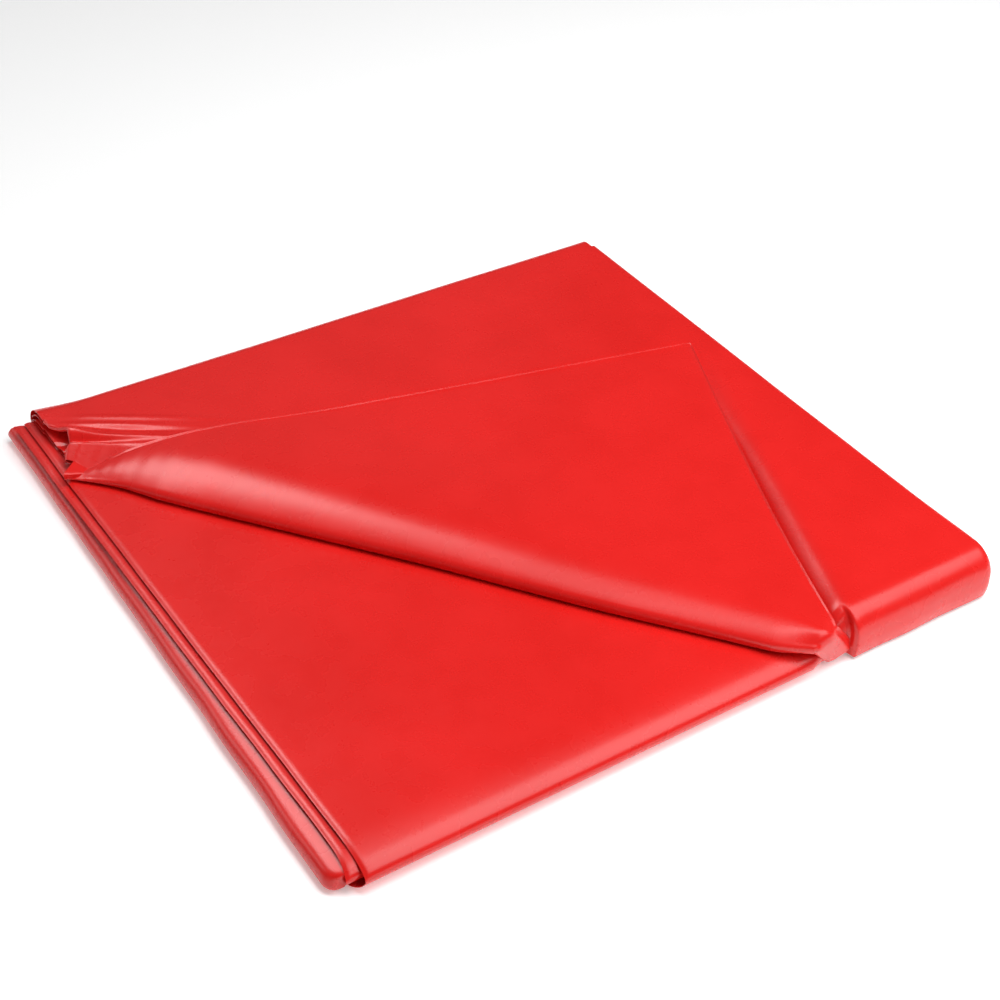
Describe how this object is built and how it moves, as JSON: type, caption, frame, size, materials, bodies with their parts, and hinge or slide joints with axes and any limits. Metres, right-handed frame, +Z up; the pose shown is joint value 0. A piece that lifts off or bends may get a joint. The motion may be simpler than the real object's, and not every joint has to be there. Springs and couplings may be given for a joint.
{
  "type": "folded vinyl sheet",
  "caption": "Glossy vinyl sheet folded into a flat square pack, with one corner of its top leaf turned back along a slanting crease.",
  "frame": {"origin": "centre of the folded pack's footprint, on the surface that it lies on", "axes": "+X along the front fold towards the right side, +Y from the front fold to the back fold, +Z up"},
  "size_m": [0.55, 0.53, 0.0455],
  "materials": {
    "vinyl_film": "calendered soft vinyl, glossy with faint ripples"
  },
  "bodies": {
    "lower_stack": {"lower_layer_1": "vinyl_film", "lower_layer_2": "vinyl_film", "lower_layer_3": "vinyl_film", "lower_layer_4": "vinyl_film", "lower_left_fold": "vinyl_film", "lower_right_inner_fold": "vinyl_film", "lower_right_outer_fold": "vinyl_film", "middle_layer_1": "vinyl_film", "middle_layer_2": "vinyl_film", "middle_layer_3": "vinyl_film", "middle_layer_4": "vinyl_film", "middle_left_fold": "vinyl_film", "middle_right_inner_fold": "vinyl_film", "middle_right_outer_fold": "vinyl_film", "front_fold_1": "vinyl_film", "front_fold_2": "vinyl_film", "front_fold_3": "vinyl_film", "front_fold_4": "vinyl_film", "back_fold_1": "vinyl_film", "back_fold_2": "vinyl_film", "back_fold_3": "vinyl_film", "back_fold_4": "vinyl_film"},
    "top_leaf": {"top_layer_1": "vinyl_film", "top_layer_2": "vinyl_film", "top_layer_3": "vinyl_film", "top_layer_4": "vinyl_film", "top_left_fold": "vinyl_film", "top_right_inner_fold": "vinyl_film", "top_right_outer_fold": "vinyl_film", "front_hang_1": "vinyl_film", "front_hang_2": "vinyl_film", "front_hang_3": "vinyl_film", "front_hang_4": "vinyl_film", "crease_roll_1": "vinyl_film", "crease_roll_2": "vinyl_film", "crease_roll_3": "vinyl_film", "crease_roll_4": "vinyl_film"},
    "corner_flap": {"flap_layer_1": "vinyl_film", "flap_layer_2": "vinyl_film", "flap_layer_3": "vinyl_film", "flap_layer_4": "vinyl_film", "flap_edge_fold": "vinyl_film"}
  },
  "joints": [
    {"name": "top_leaf_opening", "type": "hinge", "parent": "lower_stack", "child": "top_leaf", "pos_m": [0, 0.25125, 0.0267], "axis": [-1, 0, 0], "range_deg": [0, 180], "deforming": ["back_fold_1", "back_fold_2", "back_fold_3", "back_fold_4"]},
    {"name": "corner_flap_opening", "type": "hinge", "parent": "top_leaf", "child": "corner_flap", "pos_m": [-0.275, 0.203, 0.037], "axis": [0.6333, -0.7739, 0], "range_deg": [0, 180], "deforming": ["crease_roll_1", "crease_roll_2", "crease_roll_3", "crease_roll_4"]}
  ]
}
